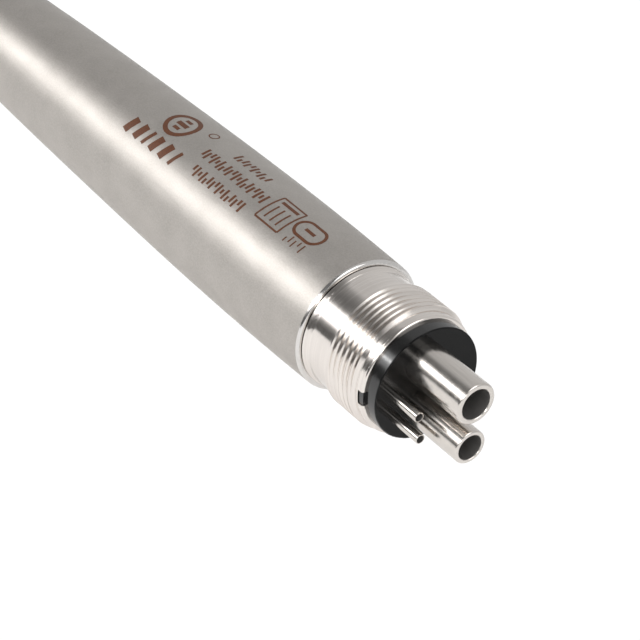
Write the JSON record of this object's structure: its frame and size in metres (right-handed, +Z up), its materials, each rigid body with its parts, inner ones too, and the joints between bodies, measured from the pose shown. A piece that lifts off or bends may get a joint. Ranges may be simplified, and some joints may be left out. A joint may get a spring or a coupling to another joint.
{
  "type": "dental high speed handpiece",
  "caption": "Air-turbine dental handpiece with a bead-blasted handle, angled push-button head and a threaded four-tube hose connector.",
  "frame": {"origin": "centre of the hose connector's flat end face", "axes": "+X out of the connector towards the hose, +Z up as the handpiece lies on its side, push button towards -Y and bur towards +Y"},
  "size_m": [0.1296, 0.0277, 0.0138],
  "materials": {
    "satin_steel": "fine bead-blasted satin",
    "polished_steel": "polished",
    "tube_steel": "drawn, bright",
    "black_plastic": "gloss moulded",
    "brass": "machined",
    "spring_steel": "drawn wire",
    "rubber": "matt",
    "bearing_steel": "ground",
    "cage_resin": "machined resin",
    "ceramic": "polished",
    "aluminium": "machined"
  },
  "bodies": {
    "handpiece": {"handle_shell": "satin_steel", "neck_shell": "satin_steel", "connector_body": "polished_steel", "connector_insert": "black_plastic", "tube_block": "brass", "block_snap_ring": "spring_steel", "handle_o_ring": "rubber", "exhaust_tube": "tube_steel", "drive_air_tube": "tube_steel", "water_tube": "tube_steel", "chip_air_tube": "tube_steel", "head_housing": "satin_steel", "spray_nozzles": "tube_steel", "head_cap": "polished_steel", "button_retaining_ring": "polished_steel", "button_spring": "spring_steel", "front_outer_race": "bearing_steel", "rear_outer_race": "bearing_steel", "front_o_ring": "rubber", "rear_o_ring": "rubber", "front_dust_shield": "polished_steel", "preload_washer": "spring_steel"},
    "rotor": {"spindle": "bearing_steel", "impeller": "aluminium", "chuck_collet": "bearing_steel", "front_inner_race": "bearing_steel", "rear_inner_race": "bearing_steel", "chuck_spring": "spring_steel"},
    "front_cage": {"front_ball_cage": "cage_resin", "front_balls": "ceramic"},
    "rear_cage": {"rear_ball_cage": "cage_resin", "rear_balls": "ceramic"},
    "button": {"push_button": "satin_steel"},
    "chuck_release": {"chuck_plunger": "bearing_steel"}
  },
  "joints": [
    {"name": "rotor_spin", "type": "hinge", "parent": "handpiece", "child": "rotor", "pos_m": [-0.11555, -0.01251, 0], "axis": [-0.342, 0.9397, 0], "continuous": true},
    {"name": "front_cage_spin", "type": "hinge", "parent": "handpiece", "child": "front_cage", "pos_m": [-0.11555, -0.01251, 0], "axis": [-0.342, 0.9397, 0], "continuous": true},
    {"name": "rear_cage_spin", "type": "hinge", "parent": "handpiece", "child": "rear_cage", "pos_m": [-0.11555, -0.01251, 0], "axis": [-0.342, 0.9397, 0], "continuous": true},
    {"name": "button_press", "type": "slide", "parent": "handpiece", "child": "button", "axis": [-0.342, 0.9397, 0], "range_m": [0, 0.0008], "stiffness_N_per_m": 600, "springref_m": -0.0005, "deforming": ["button_spring"]},
    {"name": "plunger_press", "type": "slide", "parent": "rotor", "child": "chuck_release", "axis": [-0.342, 0.9397, 0], "range_m": [0, 0.00056], "deforming": ["chuck_spring"]}
  ],
  "couplings": [
    {"joint": "front_cage_spin", "follows": "rotor_spin", "ratio": 0.394},
    {"joint": "rear_cage_spin", "follows": "rotor_spin", "ratio": 0.394},
    {"joint": "plunger_press", "follows": "button_press", "ratio": 0.7}
  ]
}
